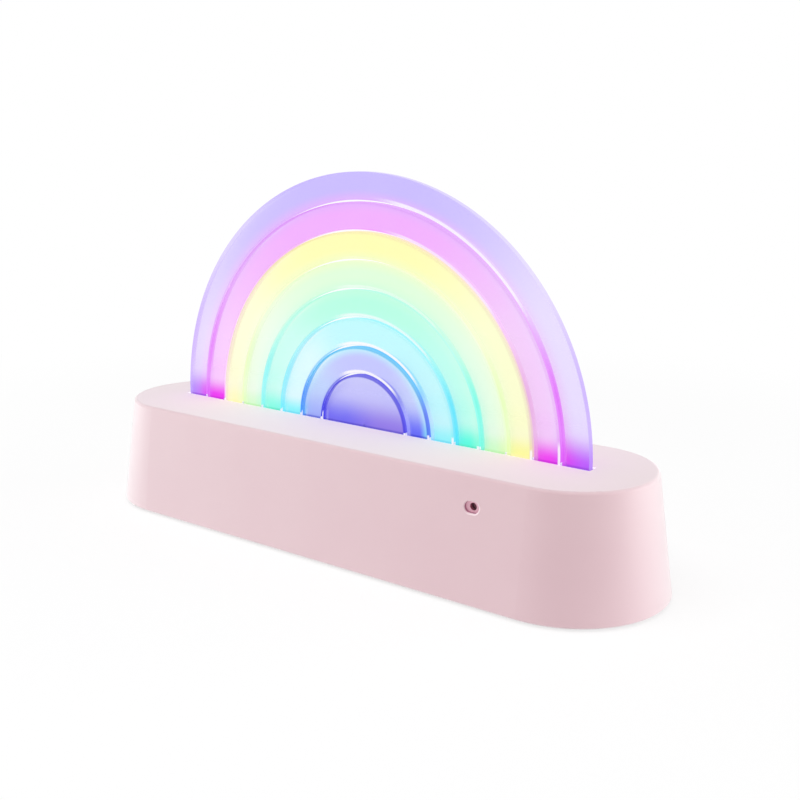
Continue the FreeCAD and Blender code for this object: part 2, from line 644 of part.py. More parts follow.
def light_comb():
    half_width = "(dim.comb_width / 2)"
    block = box("comb_block", both_sides(comb_half), both_sides(half_width), (comb_bottom, comb_top))
    holes = []
    half_slot = f"({plate_radius} + dim.comb_fit)"
    deep_slot = f"({half_plate} + dim.comb_fit)"
    holes.append(box("comb_slot", both_sides(half_slot), both_sides(deep_slot), (leg_foot, comb_top)))
    for k, x in enumerate(led_places):
        length = "(dim.led_length + 2 * dim.led_air)"
        width = "(dim.led_width / 2 + dim.led_air)"
        holes.append(box(f"led_window_{k}", about(x, length), both_sides(width), (comb_bottom, leg_foot)))
    for k, (x, y) in enumerate(comb_screw_places):
        holes.append(rod(f"comb_hole_{k}", small_hole, (x, y, comb_bottom), f"{comb_top} - {comb_bottom}"))
    teeth = []
    tooth_root = f"{leg_foot} - dim.comb_floor / 2"
    tooth_z = (tooth_root, f"{base_top} + dim.tooth_rise")
    for k, outer in enumerate(arch_outer[1:]):
        for side, middle in zip(("left", "right"), both_sides(f"({outer} + dim.arch_gap / 2)")):
            thin = "(dim.arch_gap - 2 * dim.tooth_fit)"
            teeth.append(box(f"tooth_{k}_{side}", about(middle, thin), both_sides(half_plate), tooth_z))
    nodes.append(join("light_comb", [cut("comb_trough", block, holes)] + teeth))

    board = box("led_board_blank", both_sides(comb_half), both_sides(half_width), (led_bottom, comb_bottom))
    holes = [rod(f"led_board_hole_{k}", small_hole, (x, y, led_bottom), "dim.board_thickness")
             for k, (x, y) in enumerate(comb_screw_places)]
    nodes.append(cut("led_board", board, holes))
    chips = []
    for k, x in enumerate(led_places):
        chips.append(box(f"led_chip_{k}", about(x, "dim.led_length"), both_sides("dim.led_width / 2"),
                         onward(comb_bottom, "dim.led_height")))
    nodes.append(group("led_chips", chips))
    reach = f"{comb_top} - {led_bottom} + dim.small_screw_bite"
    pan_screws("comb_screws", comb_screw_places, led_bottom, reach, True)


board_screw_x = ("(dim.board_screw_inset - dim.board_left)", "(dim.board_right - dim.board_screw_inset)")
board_screw_y = (f"({board_front} + dim.board_screw_inset)", f"({board_back} - dim.board_screw_inset)")
board_screw_places = [(x, y) for x in board_screw_x for y in board_screw_y]


def main_board():
    blank = box("main_board_blank", ("-dim.board_left", "dim.board_right"), (board_front, board_back),
                (main_bottom, main_top))
    notch_width = "(dim.button_boss + 2 * dim.button_air)"
    notch = box("button_notch", about("dim.button_place", notch_width),
                (f"{switch_front} + dim.button_air", board_back), (main_bottom, main_top))
    holes = [rod(f"main_board_hole_{k}", small_hole, (x, y, main_bottom), "dim.board_thickness")
             for k, (x, y) in enumerate(board_screw_places)]
    nodes.append(cut("main_board", blank, [notch] + holes))
    reach = "dim.board_thickness + dim.small_screw_bite"
    pan_screws("board_screws", board_screw_places, main_top, reach, False)
    chip_y = onward(f"({board_front} + dim.chip_setback)", "dim.chip_width")
    chip_z = onward(main_top, "dim.chip_height")
    control = box("control_chip", onward("dim.control_place", "dim.chip_length"), chip_y, chip_z)
    charger = box("charger_chip", onward("dim.charger_place", "dim.charger_length"), chip_y, chip_z)
    nodes.append(group("board_chips", [control, charger]))
    header_y = about(f"({board_front} + dim.header_setback)", "dim.header_width")
    header_x = onward("dim.header_place", "dim.header_length")
    nodes.append(box("link_header", header_x, header_y, (main_top, led_bottom)))


def charging_socket():
    case = obround_rod("socket_case", "dim.socket_width", "dim.socket_height", "0", socket_z,
                       socket_back, socket_mouth)
    mouth = obround_rod("socket_mouth", "(dim.socket_width - 2 * dim.socket_sheet)",
                        "(dim.socket_height - 2 * dim.socket_sheet)", "0", socket_z,
                        f"{socket_back} + dim.socket_end", socket_mouth)
    nodes.append(cut("charging_socket", case, [mouth]))
    nodes.append(box("socket_tongue", both_sides("dim.tongue_width / 2"),
                     (f"{socket_back} + dim.socket_end", f"{socket_mouth} - dim.tongue_setback"),
                     about(socket_z, "dim.tongue_height")))


def mode_button():
    at = "dim.button_place"
    start = (at, flange_back, button_z)
    cap = rod("button_cap", "dim.button_diameter", start, f"{button_face} - {flange_back}", "y")
    flange = rod("button_rim", "dim.button_flange", start, "dim.flange_thickness", "y")
    stem = rod("button_stem", "dim.stem_diameter", (at, stem_back, button_z), "dim.stem_length", "y")
    whole = join("button_blank", [cap, flange, stem])
    outermost = amount(button_face)
    nodes.append(break_edges("Fillet", "mode_button", whole, "dim.button_round",
                             lambda edge: edge.BoundBox.YMin > outermost - 1e-4))
    nodes.append(rod("switch_plunger", "dim.plunger_diameter", (at, plunger_back, button_z),
                     f"{stem_back} - {plunger_back}", "y"))
    case = box("switch_case", about(at, "dim.switch_width"), (switch_back, switch_front),
               onward(main_top, "dim.switch_height"))
    well_back = f"({plunger_back} - dim.button_travel - dim.well_air)"
    well = rod("switch_well", "dim.plunger_diameter + 2 * dim.running_fit", (at, well_back, button_z),
               f"{switch_front} - {well_back}", "y")
    nodes.append(cut("tact_switch", case, [well]))


def microphone():
    at = "dim.mic_place"
    ring = rod("boot_ring", boot_diameter, (at, mic_floor, mic_z), "dim.boot_length", "y")
    bore = "dim.mic_diameter + 2 * dim.boot_fit"
    seat = rod("boot_seat", bore, (at, mic_front, mic_z), "dim.boot_length", "y")
    passage = rod("boot_passage", "dim.mic_hole", (at, mic_floor, mic_z), "dim.boot_length", "y")
    nodes.append(cut("mic_boot", ring, [seat, passage]))
    nodes.append(rod("mic_capsule", "dim.mic_diameter", (at, mic_front, mic_z), "dim.mic_length", "y"))


def cell():
    start = f"{cell_x} - dim.cell_length / 2"
    can = rod("cell_can", "dim.cell_diameter", (f"{start} + dim.cell_cap_length", "0", cell_z),
              "dim.cell_length - dim.cell_cap_length", "x")
    cap = rod("cell_cap", "dim.cell_cap_diameter", (start, "0", cell_z), "2 * dim.cell_cap_length", "x")
    nodes.append(join("battery_cell", [can, cap]))
    x = about(cell_x, "dim.clamp_width")
    hoop = rod("clamp_hoop", clamp_outside, (x[0], "0", cell_z), "dim.clamp_width", "x")
    upper = box("clamp_upper", x, both_sides(clamp_outside), onward(cell_z, clamp_outside))
    arch = doc.addObject("Part::Common", "clamp_arch")
    arch.Base = hoop
    arch.Tool = upper
    outer = f"({clamp_outside} / 2)"
    legs = box("clamp_legs", x, both_sides(outer), (clamp_foot, cell_z))
    ears = both_sides(f"({clamp_screw_y} + dim.clamp_ear)")
    flanges = box("clamp_flanges", x, ears, onward(clamp_foot, "dim.clamp_wall"))
    bore = rod("clamp_bore", clamp_bore, (x[0], "0", cell_z), "dim.clamp_width", "x")
    inner = f"({clamp_bore} / 2)"
    passage = box("clamp_passage", x, both_sides(inner), (clamp_foot, cell_z))
    holes = [rod(f"clamp_hole_{k}", small_hole, (px, py, clamp_foot), "dim.clamp_wall")
             for k, (px, py) in enumerate(clamp_screw_places)]
    nodes.append(cut("battery_clamp", join("clamp_blank", [arch, legs, flanges]), [bore, passage] + holes))
    pan_screws("clamp_screws", clamp_screw_places, f"({clamp_foot} + dim.clamp_wall)",
               "dim.clamp_wall + dim.clamp_boss_height", False)


def lead(name, points, diameter):
    """A round lead along straight runs joined by tangent arcs."""
    route = [FreeCAD.Vector(*point) for point in points]
    edges = []
    start = route[0]
    for before, here, after in zip(route, route[1:], route[2:]):
        back = before - here
        ahead = after - here
        half_turn = (math.pi - back.getAngle(ahead)) / 2
        reach = 0.45 * min(back.Length, ahead.Length)
        radius = reach / math.tan(half_turn)
        print(f"{name}: bend radius {radius:.1f}")
        back.normalize()
        ahead.normalize()
        inward = back + ahead
        inward.normalize()
        middle = here + inward * (radius / math.cos(half_turn) - radius)
        edges.append(Part.LineSegment(start, here + back * reach).toShape())
        edges.append(Part.Arc(here + back * reach, middle, here + ahead * reach).toShape())
        start = here + ahead * reach
    edges.append(Part.LineSegment(start, route[-1]).toShape())
    path = Part.Wire(edges)
    section = Part.Wire(Part.Circle(route[0], route[1] - route[0], diameter / 2).toShape())
    tube = path.makePipeShell([section], True, True)
    expected = math.pi * diameter ** 2 / 4 * path.Length
    print(f"{name}: length {path.Length:.1f}, volume ratio {tube.Volume / expected:.3f}")
    piece = doc.addObject("Part::Feature", name)
    piece.Shape = tube
    nodes.append(piece)


def leads():
    plug_z = onward(main_top, "dim.plug_height")
    cell_plug_y = f"({board_front} + dim.cell_plug_setback)"
    mic_plug_y = f"({board_front} + dim.mic_plug_setback)"
    cell_plug = box("cell_plug", onward("dim.cell_plug_place", "dim.plug_width"),
                    about(cell_plug_y, "dim.plug_width"), plug_z)
    mic_plug = box("mic_plug", about("dim.mic_plug_place", "dim.plug_width"),
                   onward(mic_plug_y, "dim.plug_width"), plug_z)
    nodes.append(group("lead_plugs", [cell_plug, mic_plug]))
    level = amount(f"{main_top} + dim.plug_height / 2")
    start = amount(cell_right)
    end = amount("dim.cell_plug_place")
    side = amount(cell_plug_y)
    lead("battery_lead", [
        (start, 0, level),
        (start + 0.25 * (end - start), 0, level),
        (start + 0.68 * (end - start), side, level),
        (end, side, level),
    ], amount("dim.cell_lead_diameter"))
    start = amount("dim.mic_place")
    end = amount("dim.mic_plug_place")
    high = amount(mic_z)
    front = amount("-dim.comb_width / 2 - dim.lead_clearance")
    plug = amount(mic_plug_y)
    lead("mic_lead", [
        (start, amount(mic_back), high),
        (start, front, high),
        (start + 0.22 * (end - start), front, high + 0.52 * (level - high)),
        (start + 0.62 * (end - start), 0.9 * front, high + 0.9 * (level - high)),
        (end, plug + 0.64 * (front - plug), level),
        (end, plug, level),
    ], amount("dim.mic_lead_diameter"))


base_shell()
bottom_cover()
rainbow()
light_comb()
main_board()
charging_socket()
mode_button()
microphone()
cell()
leads()
doc.recompute()

failed = [item.Label for item in doc.Objects if "Invalid" in item.State or "Error" in item.State]
if failed:
    raise RuntimeError(f"features that failed: {failed}")
for item in nodes:
    if item.Shape.isNull() or not item.Shape.isValid():
        raise RuntimeError(f"bad shape: {item.Label}")
for item in nodes:
    item.Shape.exportStep(f"parts/{item.Label}.step")
    print(f"{item.Label}: {len(item.Shape.Solids)} solid(s), {item.Shape.Volume:.1f} mm3")
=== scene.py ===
import bpy
from math import cos, pi, radians, sin, tan
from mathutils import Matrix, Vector


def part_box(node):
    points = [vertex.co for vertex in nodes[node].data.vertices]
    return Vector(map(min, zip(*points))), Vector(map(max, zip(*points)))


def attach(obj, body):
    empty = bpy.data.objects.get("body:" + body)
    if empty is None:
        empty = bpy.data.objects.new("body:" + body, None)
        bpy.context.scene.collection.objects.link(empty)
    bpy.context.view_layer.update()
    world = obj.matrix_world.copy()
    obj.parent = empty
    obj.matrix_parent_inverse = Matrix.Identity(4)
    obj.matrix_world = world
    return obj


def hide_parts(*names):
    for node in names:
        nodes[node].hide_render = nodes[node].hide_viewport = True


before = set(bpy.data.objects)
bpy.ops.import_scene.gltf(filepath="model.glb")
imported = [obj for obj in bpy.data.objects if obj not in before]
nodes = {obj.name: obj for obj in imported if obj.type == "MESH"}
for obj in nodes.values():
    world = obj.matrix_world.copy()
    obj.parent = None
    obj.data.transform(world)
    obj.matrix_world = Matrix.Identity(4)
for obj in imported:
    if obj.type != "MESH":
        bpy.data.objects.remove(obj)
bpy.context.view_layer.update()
mm = 0.001
print("frame loaded,", len(nodes), "pieces")


# Shader maths: a Wire is one socket of a Paint's tree, and takes part in plain arithmetic.

class Wire:
    def __init__(self, paint, socket):
        self.paint = paint
        self.socket = socket

    def maths(self, operation, first, second=0.0):
        return self.paint.node("ShaderNodeMath", {"operation": operation}, {0: first, 1: second})

    def __add__(self, other):
        return self.maths("ADD", self, other)

    def __radd__(self, other):
        return self.maths("ADD", other, self)

    def __sub__(self, other):
        return self.maths("SUBTRACT", self, other)

    def __rsub__(self, other):
        return self.maths("SUBTRACT", other, self)

    def __mul__(self, other):
        return self.maths("MULTIPLY", self, other)

    def __rmul__(self, other):
        return self.maths("MULTIPLY", other, self)

    def __truediv__(self, other):
        return self.maths("DIVIDE", self, other)

    def __rtruediv__(self, other):
        return self.maths("DIVIDE", other, self)

    def __pow__(self, other):
        return self.maths("POWER", self, other)

    def __rpow__(self, other):
        return self.maths("POWER", other, self)

    def __abs__(self):
        return self.maths("ABSOLUTE", self)

    def atLeast(self, other):
        return self.maths("MAXIMUM", self, other)

    def fraction(self):
        return self.maths("FRACT", self)

    def rise(self, low, high):   # 0 below low, 1 above high, smooth between them, either way round
        if low > high:
            return 1.0 - self.rise(high, low)
        settings = {"interpolation_type": "SMOOTHSTEP"}
        sockets = {"Value": self, "From Min": low, "From Max": high}
        return self.paint.node("ShaderNodeMapRange", settings, sockets)


class Paint:
    def __init__(self, tree):
        self.tree = tree
        self.tree.nodes.clear()

    def node(self, kind, settings=None, sockets=None, out=0):
        made = self.tree.nodes.new(kind)
        for key, value in (settings or {}).items():
            setattr(made, key, value)
        for key, value in (sockets or {}).items():
            if isinstance(value, Wire):
                self.tree.links.new(value.socket, made.inputs[key])
            else:
                made.inputs[key].default_value = value
        return Wire(self, made.outputs[out]) if made.outputs else None

    def place(self):   # the point on the object, whole and as x, y and z
        spot = self.node("ShaderNodeTexCoord", out="Object")
        return spot, [self.node("ShaderNodeSeparateXYZ", None, {0: spot}, axis) for axis in "XYZ"]

    def noise(self, spot, size, detail):
        sockets = {"Vector": spot, "Scale": 1 / size, "Detail": detail}
        return self.node("ShaderNodeTexNoise", None, sockets, "Fac")

    def blend(self, share, first, second):
        return self.node("ShaderNodeMix", {"data_type": "RGBA"}, {0: share, 6: first, 7: second}, 2)

    def mix(self, share, first, second):
        return self.node("ShaderNodeMixShader", None, {0: share, 1: first, 2: second})

    def bump(self, height, depth):
        sockets = {"Height": height, "Distance": depth, "Strength": 1.0}
        return self.node("ShaderNodeBump", None, sockets, "Normal")

    def principled(self, **sockets):
        named = {key.replace("_", " "): value for key, value in sockets.items()}
        return self.node("ShaderNodeBsdfPrincipled", None, named)

    def cover(self, shader):
        self.node("ShaderNodeOutputMaterial", None, {"Surface": shader})


def newPaint(name):
    material = bpy.data.materials.new(name)
    material.use_nodes = True
    return material, Paint(material.node_tree)


def colour(code):   # a screen colour such as "e4c6cd" as a linear one, by the standard screen curve
    parts = [int(code[k:k + 2], 16) / 255 for k in (0, 2, 4)]
    linear = [c / 12.92 if c <= 0.04045 else ((c + 0.055) / 1.055) ** 2.4 for c in parts]
    return tuple(linear) + (1.0,)


def dress(name, material):
    slots = nodes[name].material_slots
    if not slots:
        nodes[name].data.materials.append(material)
    for slot in slots:
        slot.material = material


def addPiece(name, points, faces, material):
    mesh = bpy.data.meshes.new(name)
    mesh.from_pydata(points, [], faces)
    mesh.materials.append(material)
    mesh.shade_smooth()
    piece = bpy.data.objects.new(name, mesh)
    bpy.context.scene.collection.objects.link(piece)
    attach(piece, "lamp")
    return piece


# Camera, at the photograph's viewing angle.

cameraLook = {
    "spot": (0.2303, -0.2879, 0.1375),
    "yaw": 36.71,
    "pitch": 13.35,
    "lens": 48.09,
    "sensor": 36.0,
    "nearest": 0.01,
}


def makeCamera():
    camera = bpy.data.objects.new("camera", bpy.data.cameras.new("camera"))
    bpy.context.scene.collection.objects.link(camera)
    camera.location = cameraLook["spot"]
    camera.rotation_euler = (radians(90 - cameraLook["pitch"]), 0, radians(cameraLook["yaw"]))
    camera.data.lens = cameraLook["lens"]
    camera.data.sensor_width = cameraLook["sensor"]
    camera.data.clip_start = cameraLook["nearest"]
    bpy.context.scene.camera = camera


makeCamera()
print("camera placed")


# Pale floor, white surround and soft studio lamps.

studioLook = {
    "floor": "fafafa",
    "floorSize": 6.0,
    "floorLift": 0.75,              # share of plain white seen on the floor beside the object
    "plainFrom": (0.16, 0.42),      # over these distances the floor turns plain white
    "ambient": 0.5,
    "lamps": {
        "overhead": {"spot": (-0.05, -0.35, 1.0), "size": (1.0, 0.7), "power": 5.45},
        "leftFront": {"spot": (-0.75, -0.95, 0.35), "size": (0.6, 0.4), "power": 1.0},
        "rightFront": {"spot": (0.85, -0.65, 0.45), "size": (0.6, 0.6), "power": 0.8},
        "rightRim": {"spot": (0.77, 0.48, 0.12), "size": (0.7, 0.22), "power": 4.3},
        "leftRim": {"spot": (-0.9, -0.26, 0.06), "size": (0.5, 0.2), "power": 2.5},
        "behind": {"spot": (-0.6, 0.85, 0.35), "size": (1.0, 0.4), "power": 0.4},
    },
    "aim": (0, 0, 0.05),
}


def seenDirectly(paint):   # 1 for rays from the camera, from gloss and through clear pieces
    kinds = ("Camera", "Glossy", "Transmission")
    rays = [paint.node("ShaderNodeLightPath", out=f"Is {kind} Ray") for kind in kinds]
    return rays[0].atLeast(rays[1]).atLeast(rays[2])


def makeFloor():
    half = studioLook["floorSize"] / 2
    corners = [(-half, -half, 0), (half, -half, 0), (half, half, 0), (-half, half, 0)]
    mesh = bpy.data.meshes.new("floor")
    mesh.from_pydata(corners, [], [(0, 1, 2, 3)])
    floor = bpy.data.objects.new("floor", mesh)
    bpy.context.scene.collection.objects.link(floor)
    material, paint = newPaint("paleFloor")
    plain = paint.node("ShaderNodeBsdfDiffuse", None, {"Color": colour(studioLook["floor"])})
    white = paint.node("ShaderNodeEmission", None, {"Strength": 1.0})
    x, y, z = paint.place()[1]
    far = ((x * x + y * y) ** 0.5).rise(*studioLook["plainFrom"])
    lift = studioLook["floorLift"]
    share = seenDirectly(paint) * (lift + far * (1 - lift))
    paint.cover(paint.mix(share, plain, white))
    mesh.materials.append(material)


def makeStudio():
    bpy.context.scene.view_settings.view_transform = "Standard"
    makeFloor()
    world = bpy.data.worlds.new("surround")
    world.use_nodes = True
    bpy.context.scene.world = world
    paint = Paint(world.node_tree)
    level = studioLook["ambient"] + seenDirectly(paint) * (1 - studioLook["ambient"])
    light = paint.node("ShaderNodeBackground", None, {"Color": (1, 1, 1, 1), "Strength": level})
    paint.node("ShaderNodeOutputWorld", None, {"Surface": light})
    for name, look in studioLook["lamps"].items():
        lamp = bpy.data.lights.new(name, "AREA")
        lamp.shape = "RECTANGLE"
        lamp.size, lamp.size_y = look["size"]
        lamp.energy = look["power"]
        holder = bpy.data.objects.new(name, lamp)
        bpy.context.scene.collection.objects.link(holder)
        holder.location = look["spot"]
        towards = Vector(studioLook["aim"]) - Vector(look["spot"])
        holder.rotation_euler = towards.to_track_quat("-Z", "Y").to_euler()
        holder.visible_camera = False


makeStudio()
print("studio lit")


# Clear arches: each band is swept along its own arch with rounded edges, and glows from its feet.

bandLook = {
    "edgeRound": 0.5 * mm,
    "edgeSteps": 3,
    "arcSteps": 120,
    "halfTurn": 0.5,                # the left side's colours give way to the right side's within this share
    "lineWidth": 0.8 * mm,          # of the lines along the edges
    "lineFade": (1.5, 0.7),         # a line begins and is full at these shares of its width
    "shineFade": (1.2, 0.7),
    "shineFull": 0.6,               # share of its angles over which the painted highlight line is full
    "fleckFade": (1.3, 0.5),
    "fleckFull": 0.6,               # share of its height up to which a painted highlight fleck is full
    "bleedWidth": 4 * mm,           # a neighbour's colour reaches this far into a band
    "haze": 5 * mm,                 # the walls' colours fade into the faces over this width
    "hazeShare": 0.35,
    "rimFoot": (0.7, 0.26),         # a wall turns to its foot's colour between these heights, 1 at the top
    "rimTurn": (-0.2, 0.2),         # and from the left foot's to the right one's across the crown
    "sideTurn": (0.3, 0.7),         # over these shares of the reach a point comes to lie at the side
    "seam": (0.9 * mm, 0.2 * mm),   # heights of the strong line where a band enters the base, painted shade of the slot
    "seamShare": 0.7,
    "wallFade": (0.2, 1.0),         # shares of the edge's round where a face turns into a wall
    "wallReach": (2.0, 1.0),        # and within which a wall belongs to one side of the band
    "wallLift": 0.32,               # the walls are as pale as the clear faces look
    "outerWall": 0.8,               # share of the wall's colour on the outer side
    "clearEdge": 2.0 * mm,          # along this edge the walls behind show through
    "clearFade": (1.0, 0.7),
    "clearShare": 0.8,
    "veil": (18 * mm, 6 * mm),      # between these heights the band begins to hide what is behind it
    "veilLift": 0.28,
    "faceAlpha": 0.45,
    "footAlpha": 0.85,
    "edgeAlpha": 0.92,
    "ownLight": 0.75,               # share of a band's colour that is its own light
    "roughness": 0.14,
    "wallRoughness": 0.6,           # sawn walls are duller than the polished faces
    "gloss": 0.15,
    "ior": 1.49,
    "white": "fdfbff",
    "cloud": 14 * mm,
    "cloudShare": 0.06,
    "scuff": 0.8 * mm,
    "scuffSpread": 0.05,
    "fineDetail": 2.0,
}

# From outside to inside. plain is a band's colour at the crown and side the one down its left and its right
# side, above which crownFrom says where the crown's colour begins (0 is the springing line, 1 the top). foot
# is the colour at the left and the right foot, with the height of that glow and its two shares. rim colours
# the wall between the band and the one outside it, at the left foot, the crown and the right foot, with its
# shares there. edge is the strength of the line along the outer edge. shine is that of the painted highlight,
# a white line along the inner edge, the angles between which it catches the light, and its width. bleed is
# what the band takes from its two neighbours, and footBleed what its foot takes from the one inside it. glint
# is the height of the painted highlight flecks at the two feet, and seam the colour of the line where the
# band enters the base, painted shade of the slot.
bandTints = {
    "lavender": {
        "plain": "ab92fe", "side": ("e3cdff", "dfceff"), "crownFrom": (0.25, 0.5),
        "foot": ("9448ff", "b41cff"), "footHeight": 12 * mm, "footShare": (0.7, 0.9), "footBleed": 0.6,
        # the pale crown tone of lavender's rim is a painted highlight on its upward wall
        "rim": ("9c68f0", "e0d8ff", "9c68f0"), "rimShare": (0.5, 0.7, 0.7), "edge": 0.0,
        "shine": (0.92, 30, 88, 1.35 * mm), "bleed": (0.0, 0.5),
        "glint": (0.0, 0.0), "seam": "8a3cd8",
    },
    "pink": {
        "plain": "ec78fc", "side": ("f8b5fe", "f0b4fa"), "crownFrom": (0.25, 0.5),
        "foot": ("f000f4", "f000f4"), "footHeight": 9 * mm, "footShare": (1.0, 0.95),
        "rim": ("d400f0", "c878e4", "d424ec"), "rimShare": (0.55, 0.15, 0.85), "edge": 0.3,
        "shine": (0.8, 34, 84, 1.2 * mm), "bleed": (0.3, 0.0),
        "glint": (0.0, 8 * mm), "seam": "c400d4",
    },
    "yellow": {
        "plain": "fefb84", "side": ("fefec8", "fbfeba"), "crownFrom": (0.5, 0.6),
        "foot": ("fdfa50", "fdfa50"), "footHeight": 8 * mm, "footShare": (0.25, 0.55),
        "rim": ("d8a0b8", "dca8b8", "c878b8"), "rimShare": (0.1, 0.1, 0.5), "edge": 0.3,
        "shine": (0.35, 40, 105, 1.0 * mm), "bleed": (0.0, 0.3),
        "glint": (8 * mm, 3.5 * mm), "seam": "fff6b0",
    },
    "pale_green": {
        "plain": "d2fecb", "side": ("e7fee4", "dcfedc"), "crownFrom": (0.5, 0.5),
        "foot": ("b8ffac", "b8ffac"), "footHeight": 7 * mm, "footShare": (0.4, 0.5),
        "rim": ("c8f070", "d0f4a0", "c0f080"), "rimShare": (0.4, 0.15, 0.45), "edge": 0.0,
        "shine": (0.6, 42, 108, 1.2 * mm), "bleed": (0.35, 0.3),
        "glint": (0.0, 0.0), "seam": "b8f0a8",
    },
    "mint": {
        "plain": "8affd6", "side": ("b2ffee", "9cffe8"), "crownFrom": (0.6, 0.6),
        "foot": ("00ffe0", "00ffe0"), "footHeight": 9 * mm, "footShare": (0.6, 0.85),
        "rim": ("00e8f0", "60ecd0", "00ecdc"), "rimShare": (0.65, 0.3, 0.8), "edge": 0.05,
        "shine": (0.8, 36, 112, 1.3 * mm), "bleed": (0.25, 0.2),
        "glint": (1.2 * mm, 1.0 * mm), "seam": "50e4c0",
    },
    "cyan": {
        "plain": "9ef7fd", "side": ("d0fbff", "a4f6fd"), "crownFrom": (0.65, 0.5),
        "foot": ("40f4fc", "40f4fc"), "footHeight": 7 * mm, "footShare": (0.7, 0.5),
        "rim": ("00dcf8", "30d8ec", "00d4f4"), "rimShare": (0.65, 0.4, 0.9), "edge": 0.2,
        "shine": (1.0, 30, 118, 1.3 * mm), "bleed": (0.1, 0.0),
        "glint": (1.5 * mm, 2.5 * mm), "seam": "60d8f0",
    },
    "blue": {
        "plain": "a4a8fe", "side": ("a8c8fc", "b2c2fc"), "crownFrom": (0.5, 0.5),
        "foot": ("343cfa", "343cfa"), "footHeight": 13 * mm, "footShare": (0.4, 0.85),
        "rim": ("1084f4", "28b4f0", "0c44ec"), "rimShare": (1.0, 0.6, 0.25), "edge": 0.85,
        "shine": (1.0, 34, 124, 1.3 * mm), "bleed": (0.9, 0.0),
        "glint": (2 * mm, 1.5 * mm), "seam": "2630cc",
    },
    "violet": {
        "plain": "b0aefa", "side": ("acacfb", "acacfb"), "crownFrom": (0.5, 0.5),
        "foot": ("645cf4", "8c70e8"), "footHeight": 12.5 * mm, "footShare": (0.95, 0.95),
        "rim": ("1c10e0", "2c20d8", "1c10e0"), "rimShare": (1.0, 0.7, 0.2), "edge": 0.9,
        "shine": (0.0, 60, 90, 1.0 * mm), "bleed": (0.0, 0.0),
        "glint": (3.5 * mm, 0.5 * mm), "seam": "4838c4",
    },
}
bandOrder = list(bandTints)


def edgeProfile(inner, outer, half, radius, steps):   # rounded section of a band, as (distance, depth)
    corners = [(inner, -half, 1, 1, 180), (outer, -half, -1, 1, 270), (outer, half, -1, -1, 0),
               (inner, half, 1, -1, 90)]
    section = []
    for reach, depth, inward, upward, start in corners:
        for k in range(steps + 1):
            turn = radians(start + 90 * k / steps)
            along = reach + radius * (inward + cos(turn))
            across = depth + radius * (upward + sin(turn))
            section.append((along, across))
    return section


def archStations(leg, steps):   # (angle, drop below the springing line) from the left foot to the right one
    arc = [(pi * (1 - k / steps), 0.0) for k in range(steps + 1)]
    return [(pi, leg)] + arc + [(0.0, leg)]


def sweepBand(name, section, closed, stations, centreHeight, material):
    count = len(section)
    points = []
    for angle, drop in stations:
        for reach, depth in section:
            points.append((reach * cos(angle), depth, centreHeight + reach * sin(angle) - drop))
    faces = []
    for row in range(len(stations) - 1):
        for k in range(count if closed else count - 1):
            a, b = row * count + k, row * count + (k + 1) % count
            faces.append((a, b, b + count, a + count))
    last = (len(stations) - 1) * count
    if closed:
        faces.append(tuple(reversed(range(count))))
        faces.append(tuple(range(last, last + count)))
    else:   # the centre disc is filled between its feet
        front = [row * count for row in range(len(stations))]
        back = [row * count + count - 1 for row in range(len(stations))]
        faces.append(tuple(front))
        faces.append(tuple(reversed(back)))
        faces.append(tuple(list(reversed(range(count))) + list(range(last, last + count))))
    piece = addPiece(name, points, faces, material)
    shading = piece.modifiers.new("evenShading", "WEIGHTED_NORMAL")
    shading.keep_sharp = True
    return piece


def beside(gap, width, shares):   # 1 along an edge, fading out between two shares of the width from it
    outer, inner = shares
    return gap.rise(outer * width, inner * width)


